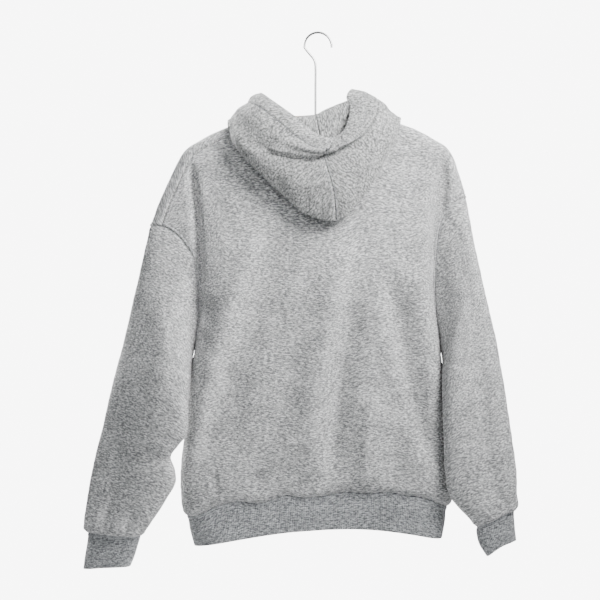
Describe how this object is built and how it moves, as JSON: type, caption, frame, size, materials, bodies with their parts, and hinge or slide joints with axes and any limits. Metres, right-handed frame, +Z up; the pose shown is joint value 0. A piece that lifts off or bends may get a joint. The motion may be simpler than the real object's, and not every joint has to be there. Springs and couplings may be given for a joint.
{
  "type": "pullover hoodie on a clothes hanger",
  "caption": "Fleece pullover hoodie with its hood down, ribbed hem and cuffs, hung on a plain hanger by a wire hook",
  "frame": {"origin": "where a rail holds the hook, at the inside top of its loop", "axes": "+Z up, -Y out of the garment's back, -X towards the wearer's left"},
  "size_m": [0.7781, 0.1424, 0.9673],
  "materials": {
    "fleece": "soft heather fleece",
    "rib": "heather rib knit",
    "wood": "satin",
    "steel": "satin"
  },
  "bodies": {
    "root": {"back_panel": "fleece", "front_panel": "fleece", "left_sleeve": "fleece", "right_sleeve": "fleece", "left_cuff": "rib", "right_cuff": "rib", "hem_band": "rib", "left_hood": "fleece", "right_hood": "fleece", "hanger_arms": "wood", "hanger_hook": "steel"}
  },
  "joints": []
}
